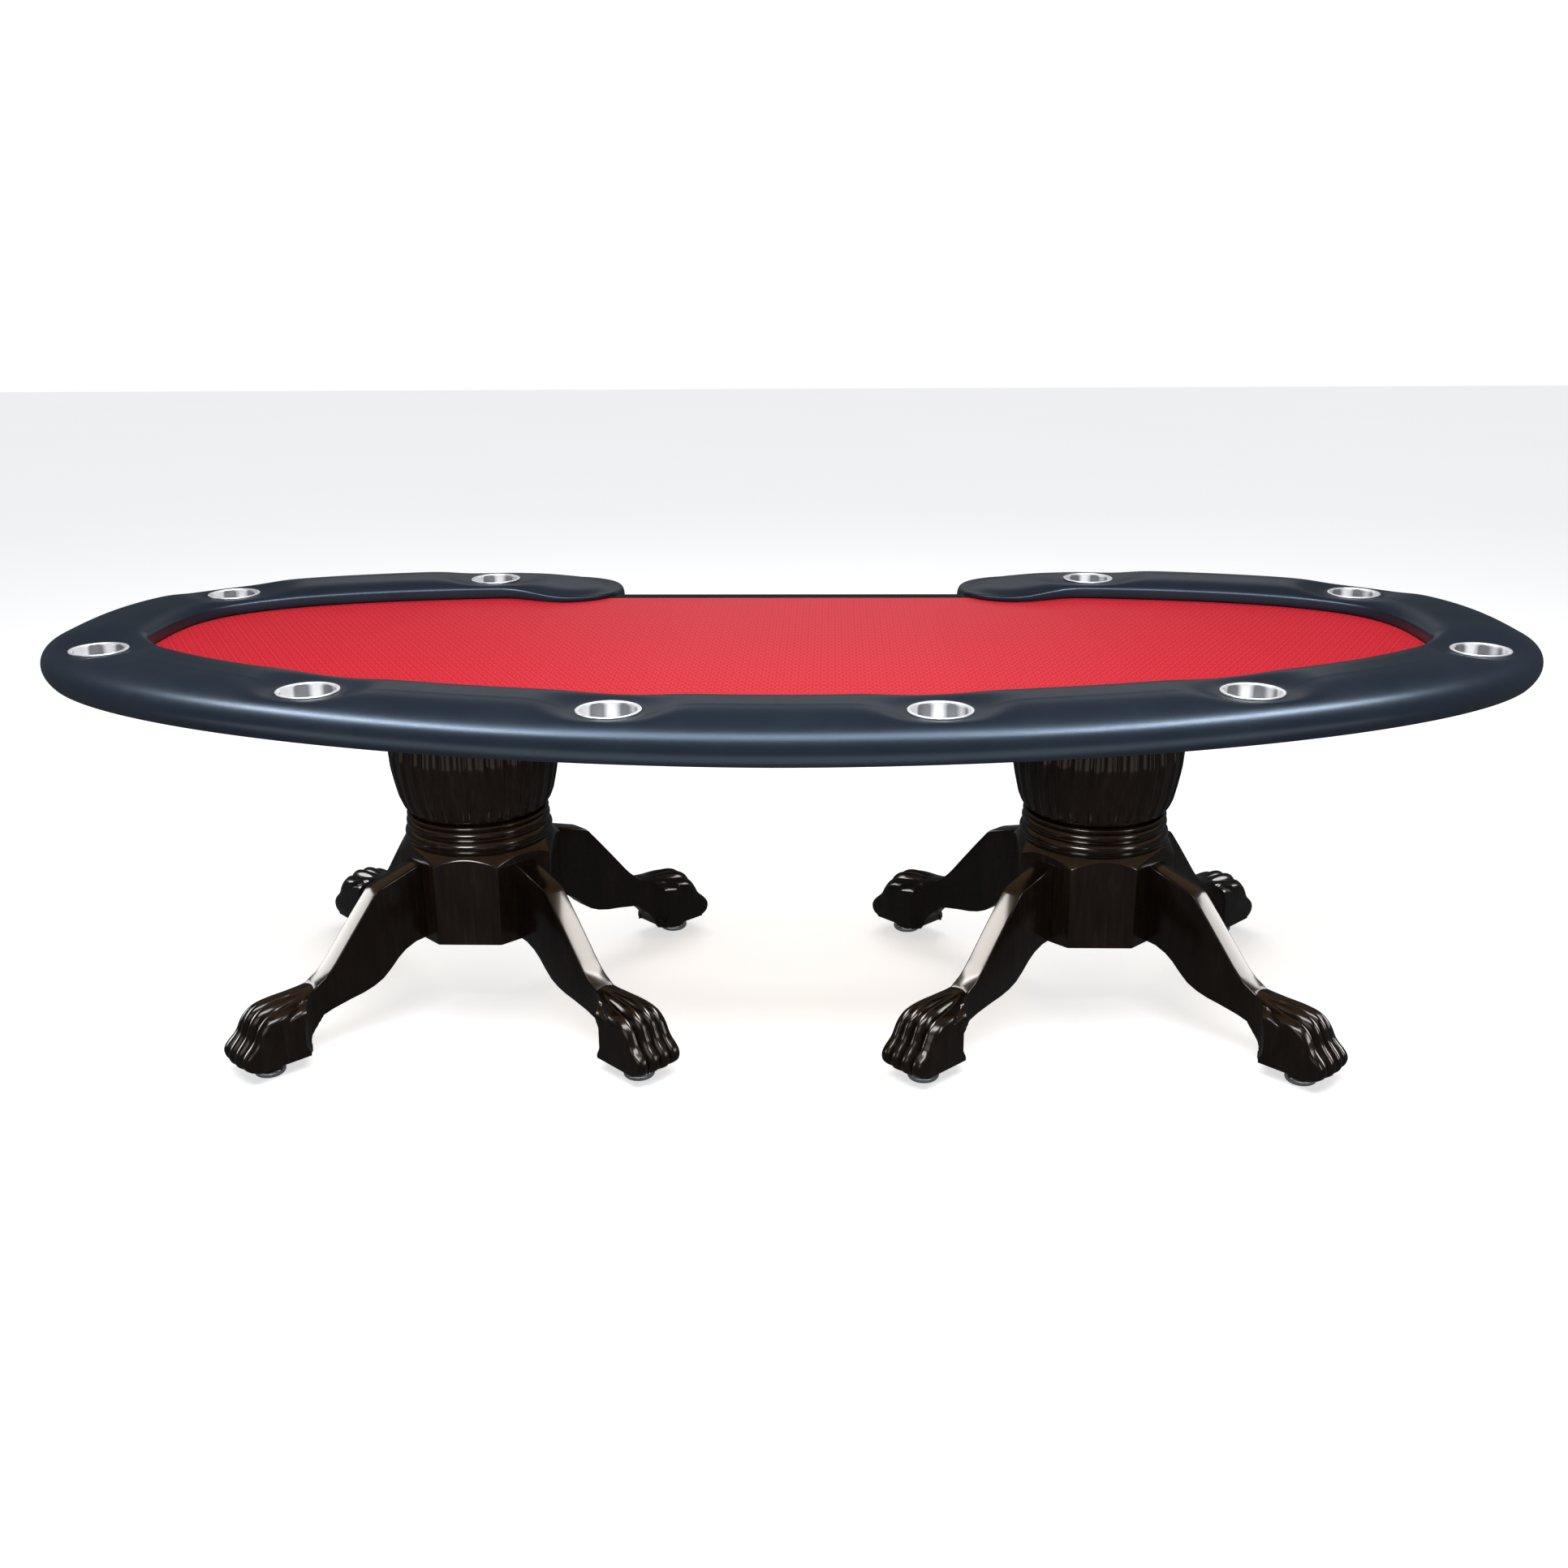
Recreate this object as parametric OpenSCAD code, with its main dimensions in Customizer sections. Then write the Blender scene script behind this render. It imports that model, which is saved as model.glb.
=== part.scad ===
// Ten-seat oval card table with a dealer cut-out on the far side.
// A padded rail with ten drop-in cup holders runs round a cloth playing surface, and the top
// stands on two turned and carved pedestals. Each pedestal has a fluted urn, a ringed collar,
// an octagonal hub and four sawn legs that end in claw feet on screw levellers.
// Origin on the floor under the middle of the top, +X to the right, +Y to the dealer, +Z up.

/* [Tabletop] */
// half length of the rail's centre line, along X
rail_half_length = 1259; // [1240:1:1280]
// half depth of the rail's centre line on the players' side, along Y
front_half_depth = 526.7; // [520:0.1:530]
// half depth of the rail's centre line on the dealer's side
back_half_depth = 533.5; // [527:0.1:540]
// superellipse power of the players' side, 2 is a plain ellipse
front_power = 1.8; // [1.8:0.1:2.2]
// superellipse power of the dealer's side, higher is squarer
back_power = 3.2; // [2.8:0.1:3.4]
// underside of the deck above the floor
deck_z = 662; // [650:1:670]
// deck plywood
deck_t = 18; // [15:1:18]
// playing surface board
board_t = 12; // [12:1:15]
// foam under the cloth
play_foam_t = 5; // [4:1:6]
// cloth
cloth_t = 2; // [1:0.5:2]

/* [Rail] */
// width of the padded rail
rail_w = 184; // [176:1:190]
// top of the rail's crown above the floor
rail_top_z = 734; // [731:1:738]
// lower edge of the rail's cover
skirt_z = 658; // [650:1:660]
// cover thickness
vinyl_t = 4; // [3:0.5:5]
// plywood under the rail's foam, above the deck
rail_board_t = 18; // [15:1:18]
// how far the deck reaches under the rail's inner side
deck_reach = 42; // [38:1:43]
// how far each rail end swells towards the players
lobe_bulge = 50; // [40:1:55]
// distance from the middle of the table to the middle of each rounded rail end
lobe_x = 470; // [460:1:475]

/* [Dealer edge] */
// where the cloth stops at the cut-out
cloth_back_y = 430; // [425:1:432]
// outer face of the edge strip
trim_back_y = 468; // [464:1:472]

/* [Cup holders] */
// rolled lip, outside diameter
cup_lip_d = 102; // [98:1:104]
// body, outside diameter
cup_body_d = 88; // [84:1:89]
// height of the lip above the floor
cup_lip_z = 724; // [722:1:726]
// overall depth
cup_depth = 60; // [57:1:61]
// steel thickness
cup_wall = 1.2; // [1:0.1:1.5]

/* [Pedestals] */
// distance of each pedestal's axis from the middle of the table
pedestal_x = 580; // [560:5:640]
// flat to flat of the octagonal hub, halved
hub_apothem = 142; // [138:1:146]
// underside of the hub
hub_z = 165; // [160:1:170]
// upper corners of the hub
hub_top_z = 319; // [315:1:321]
// flutes round each urn
flutes = 28; // [24:2:32]
// square plate between urn and deck, across
plate_w = 380; // [340:10:400]

/* [Legs] */
// thickness of the sawn leg
leg_t = 40; // [36:1:44]
// width of the claw foot
foot_w = 95; // [90:1:100]
// toes on each foot
toes = 4; // [3:1:5]
// distance of each leveller from the pedestal's axis
foot_r = 466; // [462:1:470]
// underside of the claw foot
foot_z = 30; // [28:1:34]

/* [Levellers] */
// pad diameter
pad_d = 56; // [50:1:58]
// pad height
pad_h = 24; // [20:1:25]
// screw diameter
stem_d = 10; // [8:1:10]

/* [Hidden] */

C_WOOD = [0.07, 0.045, 0.035];
C_PLY = [0.72, 0.56, 0.38];
C_VINYL = [0.06, 0.065, 0.08];
C_FOAM = [0.85, 0.83, 0.72];
C_CLOTH = [0.72, 0.05, 0.12];
C_STEEL = [0.78, 0.79, 0.8];
C_ZINC = [0.62, 0.63, 0.62];
C_TRIM = [0.03, 0.03, 0.035];

deck_top = deck_z + deck_t;
board_top = deck_top + board_t;
play_foam_top = board_top + play_foam_t;
cloth_top = play_foam_top + cloth_t;
rail_board_top = deck_top + rail_board_t;
plate_t = 18;
plate_z = deck_z - plate_t;
slip = 0.3;
deck_notch_y = trim_back_y - 7;
outline_steps = 56;
cap_steps = 12;

// rounded section of the rail as steps: [underside above the skirt, inset]
crown = [[0, 14], [10, 0], [54, 9], [66, 28]];

cup_hole_d = cup_body_d + 5;
cup_seat_z = cup_lip_z - 2;
// cup holders as [distance along X, side], side -1 for the players and 1 for the dealer
cup_places = [[-750, -1], [-253, -1], [253, -1], [750, -1], [-1208, -1],
  [1208, -1], [-1135, 1], [-627, 1], [627, 1], [1135, 1]];
// rail bolts between the cup holders in the same way; each cup holder and rounded end has one too
bolt_places = [[-1010, -1], [-505, -1], [0, -1], [505, -1], [1010, -1],
  [-1225, 1], [-890, 1], [890, 1], [1225, 1]];
rail_bolt_d = 6;
rail_bolt_inset = 71;
rail_joint = 0.4;
cup_block = 156;

// ---- plan curves ----
function power_at(a) = sin(a) < 0 ? front_power : back_power;
function depth_at(a) = sin(a) < 0 ? front_half_depth : back_half_depth;
function stretch(a) = pow(pow(abs(cos(a)), power_at(a)) + pow(abs(sin(a)), power_at(a)),
  -1 / power_at(a));
function rail_xy(a) = [rail_half_length * cos(a), depth_at(a) * sin(a)] * stretch(a);
function slope(v, p) = sign(v) * pow(abs(v), p - 1);
function rail_gradient(a) = [slope(cos(a) * stretch(a), power_at(a)) / rail_half_length,
  slope(sin(a) * stretch(a), power_at(a)) / depth_at(a)];
function rail_edge(a, d) = rail_xy(a) + d * rail_gradient(a) / norm(rail_gradient(a));
function centre_y(x, side) = side * depth_at(90 * side) * pow(1 - pow(abs(x) / rail_half_length,
  power_at(90 * side)), 1 / power_at(90 * side));
function place(p) = [p[0], centre_y(p[0], p[1])];
// direction square to the rail's centre line at a place
function square_to(p) = atan2(slope(centre_y(p[0], p[1]) / depth_at(90 * p[1]), power_at(90 * p[1]))
  / depth_at(90 * p[1]), slope(p[0] / rail_half_length, power_at(90 * p[1])) / rail_half_length);

lobe_a = 360 + atan2(centre_y(lobe_x, 1) / back_half_depth, lobe_x / rail_half_length);
lobe_dir = atan2(rail_gradient(lobe_a)[1], rail_gradient(lobe_a)[0]);
lobe_c = rail_edge(lobe_a, -lobe_bulge / 2);
lobe_r = (rail_w + lobe_bulge) / 2;
lobe_places = [[-lobe_c[0], lobe_c[1]], lobe_c];

function ease(t) = t <= 0 ? 0 : t >= 1 ? 1 : t * t * (3 - 2 * t);
function bulge_at(a) = a < 360 ? 0 : lobe_bulge * ease((lobe_x + 140 - rail_xy(a)[0]) / 140);
function angle_at(i) = 270 + (i + 0.5) * (lobe_a - 270) / (outline_steps + 0.5);
function outer_edge(g) = [for (i = [0:outline_steps]) rail_edge(angle_at(i), rail_w / 2 + g)];
function inner_edge(g) = [for (i = [0:outline_steps])
  rail_edge(angle_at(i), -rail_w / 2 - bulge_at(angle_at(i)) - g)];
function cap(g, from, to) = [for (i = [1:cap_steps])
  lobe_c + (lobe_r + g) * [cos(from + (to - from) * i / cap_steps),
  sin(from + (to - from) * i / cap_steps)]];
function reversed(l) = [for (i = [len(l) - 1:-1:0]) l[i]];
function both_sides(l) = concat(l, [for (p = reversed(l)) [-p[0], p[1]]]);
// angle on a rail end's circle, grown by g, where it crosses the line y
function cap_angle(g, y) = 180 + asin((lobe_c[1] - y) / (lobe_r + g));

function rail_outline(g) = both_sides(concat(outer_edge(g),
  cap(g, lobe_dir, lobe_dir + 170), reversed(inner_edge(g))));
function deck_outline(g) = both_sides(concat(outer_edge(deck_reach - rail_w + g),
  [[lobe_c[0] - 5, deck_notch_y + g]]));
function playfield_outline(g) = both_sides(concat(inner_edge(g),
  cap(g, lobe_dir + 180, cap_angle(g, cloth_back_y))));

module slab(outline, z0, z1) {
  translate([0, 0, z0])
    linear_extrude(z1 - z0)
      polygon(outline);
}

module post(p, d, z0, z1) {
  translate([p[0], p[1], z0])
    cylinder(h = z1 - z0, d = d, $fn = 64);
}

module cup_holes(d, z0, z1) {
  for (c = cup_places)
    post(place(c), d, z0, z1);
}

module at_rail_bolts() {
  for (b = concat(bolt_places, cup_places))
    translate([place(b)[0], place(b)[1], 0])
      rotate([0, 0, square_to(b)])
        translate([-rail_bolt_inset, 0, 0])
          children();
  for (p = lobe_places)
    translate([p[0], p[1] - rail_bolt_inset, 0])
      children();
}

// the rail's board and foam are made in lengths that butt together either side of each cup holder
module rail_joints(z0, z1) {
  for (c = cup_places, side = [-1, 1])
    translate([place(c)[0], place(c)[1], z0])
      rotate([0, 0, square_to(c)])
        translate([-rail_w, (side * cup_block - rail_joint) / 2, 0])
          cube([2 * rail_w, rail_joint, z1 - z0]);
}

// ---- tabletop ----
module table_deck() {
  color(C_PLY)
    difference() {
      slab(deck_outline(0), deck_z, deck_top);
      at_rail_bolts()
        post([0, 0], rail_bolt_d + 0.6, deck_z - 1, deck_top + 1);
    }
}

module playfield_board() {
  color(C_PLY)
    slab(playfield_outline(1), deck_top, board_top);
}

module playfield_foam() {
  color(C_FOAM)
    slab(playfield_outline(1), board_top, play_foam_top);
}

module playfield_cloth() {
  color(C_CLOTH)
    slab(playfield_outline(1), play_foam_top, cloth_top);
}

module dealer_edge_trim() {
  nose_r = 10;
  half = lobe_c[0];
  color(C_TRIM)
    difference() {
      union() {
        translate([-half, cloth_back_y + 1, deck_top])
          cube([2 * half, trim_back_y - nose_r - cloth_back_y - 1, cloth_top + 1 - deck_top]);
        translate([-half, trim_back_y - nose_r, deck_top])
          cube([2 * half, nose_r, cloth_top + 1 - nose_r - deck_top]);
        translate([-half, trim_back_y - nose_r, cloth_top + 1 - nose_r])
          rotate([0, 90, 0])
            cylinder(h = 2 * half, r = nose_r, $fn = 48);
        translate([-half, deck_notch_y + slip, deck_z + 2])
          cube([2 * half, trim_back_y - deck_notch_y - slip, deck_t - 2]);
      }
      for (p = lobe_places)
        post(p, 2 * (lobe_r + slip), deck_z, cloth_top + 5);
    }
}

// two layers of plywood, the lower one outside the deck's edge
module rail_board() {
  color(C_PLY)
    difference() {
      union() {
        slab(rail_outline(-vinyl_t - slip), deck_top, rail_board_top);
        slab(rail_outline(-vinyl_t - slip - crown[0][1]), deck_z, deck_top + 1);
      }
      slab(deck_outline(slip), deck_z - 1, deck_top);
      cup_holes(cup_hole_d, deck_z - 1, rail_board_top + 1);
      rail_joints(deck_z - 1, rail_board_top + 1);
      at_rail_bolts() {
        post([0, 0], 9.2, deck_top - 1, rail_board_top + 1);
        post([0, 0], 20.6, rail_board_top - 1.6, rail_board_top + 1);
      }
    }
}

function step_bottom(i) = skirt_z + crown[i][0];
function step_top(i) = i == len(crown) - 1 ? rail_top_z : step_bottom(i + 1);

// the rail is cut down flat across its width round each cup holder
module seats(grow, z0, z1) {
  for (c = cup_places)
    translate([place(c)[0], place(c)[1], z0])
      rotate([0, 0, square_to(c)])
        translate([-rail_w, -cup_block / 2 - grow, 0])
          cube([2 * rail_w, cup_block + 2 * grow, z1 - z0]);
}

// inside of the rail's cover above z0, grown by g
module foam_block(g, z0) {
  difference() {
    for (i = [0:len(crown) - 1])
      let (low = max(z0, step_bottom(i) + (i < 2 ? vinyl_t : -vinyl_t)),
        high = step_top(i) + (i < 1 ? vinyl_t : -vinyl_t))
        if (high > low)
          slab(rail_outline(g - vinyl_t - crown[i][1]), low, high);
    seats(vinyl_t, cup_seat_z - vinyl_t, rail_top_z);
  }
}

module rail_foam() {
  color(C_FOAM)
    difference() {
      foam_block(-slip, rail_board_top);
      cup_holes(cup_hole_d, rail_board_top - 1, rail_top_z);
      rail_joints(rail_board_top - 1, rail_top_z);
    }
}

// cover, turned in under the rail's outer edge
module rail_vinyl() {
  color(C_VINYL)
    difference() {
      union()
        for (i = [0:len(crown) - 1])
          slab(rail_outline(-crown[i][1]), step_bottom(i), step_top(i));
      foam_block(0, deck_z);
      slab(rail_outline(-crown[0][1] - 24), skirt_z - 1, deck_z + 1);
      slab(deck_outline(slip), skirt_z - 1, deck_top);
      cup_holes(cup_hole_d, skirt_z, rail_top_z);
      seats(0, cup_seat_z, rail_top_z + 1);
    }
}

module rail_bolts() {
  color(C_ZINC)
    at_rail_bolts() {
      post([0, 0], rail_bolt_d, deck_z - 1, rail_board_top - 2);
      post([0, 0], 16, deck_z - 4, deck_z);
    }
}

module rail_t_nuts() {
  color(C_ZINC)
    at_rail_bolts()
      difference() {
        union() {
          post([0, 0], 9, deck_top + 6, rail_board_top - 1);
          post([0, 0], 20, rail_board_top - 1.5, rail_board_top);
        }
        post([0, 0], rail_bolt_d + 0.1, deck_top, rail_board_top + 1);
      }
}

module cup_holder(i) {
  r = cup_body_d / 2;
  lip_r = cup_lip_d / 2;
  bottom = cup_lip_z - cup_depth;
  color(C_STEEL)
    translate([place(cup_places[i])[0], place(cup_places[i])[1], 0])
      rotate_extrude($fn = 96)
        polygon([[0, bottom], [r - 5, bottom], [r, bottom + 5], [r, cup_lip_z - 2],
          [lip_r - 1, cup_lip_z - 2], [lip_r, cup_lip_z - 1], [lip_r - 1, cup_lip_z],
          [r - cup_wall, cup_lip_z], [r - cup_wall, bottom + 5],
          [r - 5, bottom + cup_wall], [0, bottom + cup_wall]]);
}

// ---- pedestals ----
collar_z = hub_top_z + 20;
urn_z = collar_z + 53;
// turned outline of the urn as [radius, height above its foot]
urn_profile = [[119, 0], [129, 3], [136, 12], [143.5, 32], [149.5, 59], [155, 89], [157, 118],
  [154, 148], [146, 176], [134, 200], [121, 218], [112, 228]];
urn_h = plate_z - urn_z;
flute_deep = 4;

function grown(l, d) = [for (p = l) [p[0] + d, p[1]]];

module top_plate() {
  color(C_WOOD)
    difference() {
      translate([-plate_w / 2, -plate_w / 2, plate_z])
        cube([plate_w, plate_w, plate_t]);
      post([0, 0], 34, plate_z + 6, deck_z + 1);
      post([0, 0], 13, plate_z - 1, deck_z);
      at_plate_screws()
        post([0, 0], 5.4, plate_z - 1, deck_z + 1);
    }
}

module at_plate_screws() {
  reach = plate_w / 2 - 25;
  for (x = [-reach, 0, reach], y = [-reach, 0, reach])
    if (x != 0 || y != 0)
      translate([x, y, 0])
        children();
}

module plate_screws() {
  color(C_ZINC)
    at_plate_screws() {
      post([0, 0], 5, plate_z - 1, deck_z);
      post([0, 0], 11, plate_z - 3, plate_z);
    }
}

module urn() {
  color(C_WOOD)
    difference() {
      translate([0, 0, urn_z])
        rotate_extrude($fn = 128)
          polygon(concat([[30, 0]], urn_profile,
            [[112, urn_h - 20], [128, urn_h - 14], [132, urn_h - 8], [132, urn_h],
            [30, urn_h]]));
      for (i = [0:flutes - 1])
        translate([0, 0, urn_z + 6])
          rotate([0, 0, (i - 0.27) * 360 / flutes - 90 - 115 / flutes])
            rotate_extrude(angle = 230 / flutes, $fn = 128)
              polygon(concat(grown(flute_line(), -flute_deep), reversed(grown(flute_line(), 6))));
    }
}

// the part of the urn's outline that the flutes follow, above their lower ends
function flute_line() = concat([[131, 0]], [for (i = [2:10]) urn_profile[i] - [0, 6]]);

module collar() {
  color(C_WOOD)
    difference() {
      translate([0, 0, collar_z])
        rotate_extrude($fn = 128)
          difference() {
            union() {
              translate([30, 0])
                square([96, 53]);
              translate([122, 12.5])
                circle(r = 13, $fn = 48);
              translate([122, 32.5])
                circle(r = 10, $fn = 48);
              translate([122, 47])
                circle(r = 6, $fn = 32);
              translate([30, 0])
                square([106, 4]);
            }
            translate([0, -20])
              square([150, 20]);
          }
      post([0, 0], 14, collar_z - 1, collar_z + 60);
    }
}

module hub() {
  corner = hub_apothem / cos(22.5);
  color(C_WOOD)
    difference() {
      intersection() {
        translate([0, 0, hub_z])
          rotate([0, 0, 22.5])
            cylinder(h = collar_z - hub_z, r = corner, $fn = 8);
        translate([0, 0, hub_z])
          rotate_extrude($fn = 128)
            polygon([[0, 0], [corner + 1, 0], [corner + 1, hub_top_z - hub_z],
              [136, collar_z - hub_z], [0, collar_z - hub_z]]);
      }
      post([0, 0], 96, hub_z - 1, collar_z - 18);
      post([0, 0], 14, hub_z, collar_z + 1);
      for (a = [45:90:315], z = bolt_heights)
        translate([0, 0, z])
          rotate([0, 90, a])
            cylinder(h = 170, d = 8.4, $fn = 32);
    }
}

bolt_heights = [215, 282];

module tie_rod() {
  color(C_ZINC) {
    post([0, 0], 12, hub_z - 14, plate_z + 18);
    difference() {
      post([0, 0], 130, hub_z - 4, hub_z);
      post([0, 0], 12, hub_z - 5, hub_z + 1);
    }
    translate([0, 0, hub_z - 14])
      nut();
    translate([0, 0, plate_z + 6])
      nut();
  }
}

module nut() {
  difference() {
    cylinder(h = 10, d = 21, $fn = 6);
    translate([0, 0, -1])
      cylinder(h = 12, d = 12, $fn = 32);
  }
}

module leg_bolts() {
  color(C_ZINC)
    for (a = [45:90:315], z = bolt_heights)
      translate([0, 0, z])
        rotate([0, 0, a])
          translate([41, 0, 0])
            rotate([0, 90, 0]) {
              cylinder(h = 5.5, d = 14.5, $fn = 6);
              cylinder(h = 159, d = 8, $fn = 32);
            }
}

// sawn outline of a leg seen from the side, as [distance from the pedestal's axis, height]
leg_outline = [[hub_apothem, 318], [228, 291], [243, 281], [299, 214], [328, 178], [351, 155],
  [376, 142], [403, 137], [403, 60], [364, 78], [345, 89], [306, 97], [258, 106], [235, 117],
  [220, 130], [203, 146], [187, 157], [165, 167], [hub_apothem, 170]];
// sawn outline of the claw foot in the same frame
foot_outline = [[351, 155], [376, 142], [403, 137], [438, 135], [463, 133], [483, 127], [497, 115],
  [505, 98], [514, 82], [527, 68], [535, 54], [534, 42], [527, 34], [516, foot_z],
  [404, foot_z], [396, 38], [392, 50], [380, 66], [364, 78], [345, 89]];
// the same, pulled in along its outer edge where the grooves between the toes run
groove_outline = [[344, 157], [373, 151], [403, 130], [438, 128], [461, 126], [478, 120],
  [490, 110], [498, 94], [507, 78], [519, 65], [527, 53], [527, 44], [521, 38], [512, 30],
  [512, 20], [560, 20], [560, 170], [344, 170]];

module side_cut(outline, width) {
  rotate([90, 0, 0])
    translate([0, 0, -width / 2])
      linear_extrude(width)
        polygon(outline);
}

// one leg pointing along +X from the pedestal's axis
module leg_along_x() {
  cove_r = 44;
  difference() {
    union() {
      side_cut(leg_outline, leg_t);
      difference() {
        side_cut(foot_outline, foot_w);
        for (s = [-1, 1])
          translate([374, s * (leg_t / 2 + cove_r), 0])
            cylinder(h = 180, r = cove_r, $fn = 64);
        for (s = [-1, 1])
          translate([328, s * (leg_t / 2 + cove_r) - cove_r, 0])
            cube([46, 2 * cove_r, 180]);
      }
    }
    for (i = [1:toes - 1])
      translate([0, (i - toes / 2) * foot_w / toes, 0])
        side_cut(groove_outline, 4);
    translate([foot_r, 0, foot_z - 1])
      cylinder(h = 27, d = 14.6, $fn = 48);
    translate([foot_r, 0, foot_z - 1])
      cylinder(h = 47, d = 11, $fn = 48);
    for (z = bolt_heights)
      translate([hub_apothem - 1, 0, z])
        rotate([0, 90, 0])
          cylinder(h = 62, d = 8.4, $fn = 32);
  }
}

module foot_inserts() {
  color(C_ZINC)
    for (a = [45:90:315])
      rotate([0, 0, a])
        translate([foot_r, 0, foot_z])
          difference() {
            cylinder(h = 24, d = 14, $fn = 48);
            translate([0, 0, -1])
              cylinder(h = 26, d = stem_d + 0.4, $fn = 48);
          }
}

module leveller_along_x() {
  translate([foot_r, 0, 0])
    rotate_extrude($fn = 96)
      polygon([[0, 0], [pad_d * 0.36, 0], [pad_d * 0.45, 2], [pad_d / 2, 6], [pad_d / 2, 9],
        [pad_d * 0.46, 14], [pad_d * 0.36, 19], [pad_d * 0.23, pad_h - 1.5],
        [pad_d * 0.16, pad_h], [stem_d / 2, pad_h], [stem_d / 2, 64], [0, 64]]);
}

module turned(a) {
  rotate([0, 0, a])
    children();
}

module on_left() {
  translate([-pedestal_x, 0, 0])
    children();
}

module on_right() {
  translate([pedestal_x, 0, 0])
    children();
}

table_deck();
playfield_board();
playfield_foam();
playfield_cloth();
dealer_edge_trim();
rail_board();
rail_foam();
rail_vinyl();
rail_bolts();
rail_t_nuts();

cup_holder(0);  // cup_holder_01
cup_holder(1);  // cup_holder_02
cup_holder(2);  // cup_holder_03
cup_holder(3);  // cup_holder_04
cup_holder(4);  // cup_holder_05
cup_holder(5);  // cup_holder_06
cup_holder(6);  // cup_holder_07
cup_holder(7);  // cup_holder_08
cup_holder(8);  // cup_holder_09
cup_holder(9);  // cup_holder_10

on_left() top_plate();  // top_plate_left
on_left() urn();  // urn_left
on_left() collar();  // collar_left
on_left() hub();  // hub_left
on_left() tie_rod();  // tie_rod_left
on_left() plate_screws();  // plate_screws_left
on_left() leg_bolts();  // leg_bolts_left
on_left() foot_inserts();  // foot_inserts_left
color(C_WOOD) on_left() turned(225) leg_along_x();  // leg_left_fl
color(C_WOOD) on_left() turned(315) leg_along_x();  // leg_left_fr
color(C_WOOD) on_left() turned(135) leg_along_x();  // leg_left_bl
color(C_WOOD) on_left() turned(45) leg_along_x();  // leg_left_br
color(C_STEEL) on_left() turned(225) leveller_along_x();  // leveller_left_fl
color(C_STEEL) on_left() turned(315) leveller_along_x();  // leveller_left_fr
color(C_STEEL) on_left() turned(135) leveller_along_x();  // leveller_left_bl
color(C_STEEL) on_left() turned(45) leveller_along_x();  // leveller_left_br

on_right() top_plate();  // top_plate_right
on_right() urn();  // urn_right
on_right() collar();  // collar_right
on_right() hub();  // hub_right
on_right() tie_rod();  // tie_rod_right
on_right() plate_screws();  // plate_screws_right
on_right() leg_bolts();  // leg_bolts_right
on_right() foot_inserts();  // foot_inserts_right
color(C_WOOD) on_right() turned(225) leg_along_x();  // leg_right_fl
color(C_WOOD) on_right() turned(315) leg_along_x();  // leg_right_fr
color(C_WOOD) on_right() turned(135) leg_along_x();  // leg_right_bl
color(C_WOOD) on_right() turned(45) leg_along_x();  // leg_right_br
color(C_STEEL) on_right() turned(225) leveller_along_x();  // leveller_right_fl
color(C_STEEL) on_right() turned(315) leveller_along_x();  // leveller_right_fr
color(C_STEEL) on_right() turned(135) leveller_along_x();  // leveller_right_bl
color(C_STEEL) on_right() turned(45) leveller_along_x();  // leveller_right_br
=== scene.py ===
"""Casino card table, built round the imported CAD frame: padded rail, cloth, steel cup holders,
two turned and carved pedestals. Metres, floor at z = 0, +X right, +Y towards the dealer."""
import math

import bmesh
import bpy
import numpy as np
from mathutils import Matrix, Vector


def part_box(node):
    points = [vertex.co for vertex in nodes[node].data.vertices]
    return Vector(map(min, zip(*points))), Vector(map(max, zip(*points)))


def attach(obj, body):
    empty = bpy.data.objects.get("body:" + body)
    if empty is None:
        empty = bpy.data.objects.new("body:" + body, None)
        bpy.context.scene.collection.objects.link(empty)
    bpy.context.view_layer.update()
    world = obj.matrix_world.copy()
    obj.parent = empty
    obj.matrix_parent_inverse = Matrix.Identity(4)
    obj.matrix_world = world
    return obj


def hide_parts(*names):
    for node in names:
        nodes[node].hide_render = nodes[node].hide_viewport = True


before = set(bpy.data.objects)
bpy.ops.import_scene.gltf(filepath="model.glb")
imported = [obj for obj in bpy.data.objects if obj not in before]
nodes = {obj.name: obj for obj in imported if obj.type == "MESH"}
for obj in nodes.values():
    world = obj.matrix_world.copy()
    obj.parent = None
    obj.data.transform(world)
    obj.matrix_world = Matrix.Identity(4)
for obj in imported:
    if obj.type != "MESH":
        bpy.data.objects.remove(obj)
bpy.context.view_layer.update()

SIDES = ("left", "right")
LEGS = {"fl": 225, "fr": 315, "bl": 135, "br": 45}


# ---------------------------------------------------------------- small helpers
def mesh_object(name, verts, faces, smooth=None):
    """A new object from points and faces. smooth is the angle in degrees past which an edge is sharp."""
    me = bpy.data.meshes.new(name)
    me.from_pydata([tuple(map(float, v)) for v in verts], [], faces)
    me.validate()
    ob = bpy.data.objects.new(name, me)
    bpy.context.scene.collection.objects.link(ob)
    tidy(ob, smooth)
    return ob


def tidy(ob, smooth=None, merge=1e-5):
    bm = bmesh.new()
    bm.from_mesh(ob.data)
    bmesh.ops.remove_doubles(bm, verts=bm.verts, dist=merge)
    bmesh.ops.dissolve_degenerate(bm, edges=bm.edges, dist=1e-6)
    bmesh.ops.recalc_face_normals(bm, faces=bm.faces)
    bm.to_mesh(ob.data)
    bm.free()
    ob.data.polygons.foreach_set("use_smooth", [True] * len(ob.data.polygons))
    if smooth:
        ob.data.set_sharp_from_angle(angle=math.radians(smooth))
    ob.data.update()


def apply_modifiers(ob):
    """The mesh with its modifiers applied, kept on the same object."""
    deps = bpy.context.evaluated_depsgraph_get()
    deps.update()
    me = bpy.data.meshes.new_from_object(ob.evaluated_get(deps))
    ob.modifiers.clear()
    ob.data = me


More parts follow.
